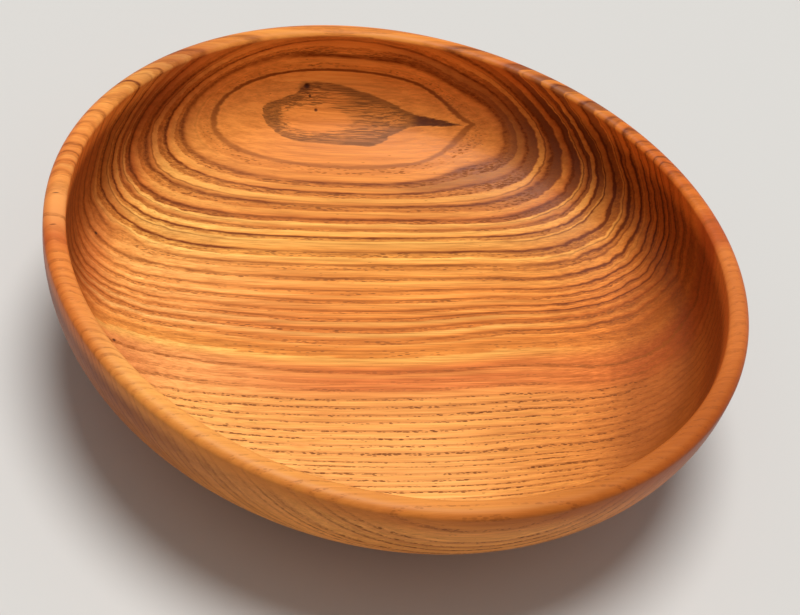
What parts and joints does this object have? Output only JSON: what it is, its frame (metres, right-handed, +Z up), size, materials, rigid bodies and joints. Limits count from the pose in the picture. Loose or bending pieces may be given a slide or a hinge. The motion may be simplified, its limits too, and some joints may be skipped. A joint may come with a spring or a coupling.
{
  "type": "turned wooden bowl",
  "caption": "Wide, shallow wooden bowl turned from one block, with a rounded lip, a steep wall, a flat floor and a low foot ring.",
  "frame": {"origin": "centre of the foot ring's flat face, on the surface that the bowl stands on", "axes": "+Z up along the turning axis, out of the hollow; +X along the wood's grain"},
  "size_m": [0.32, 0.32, 0.074],
  "materials": {
    "wood": "satin oil"
  },
  "bodies": {
    "root": {"bowl": "wood"}
  },
  "joints": []
}
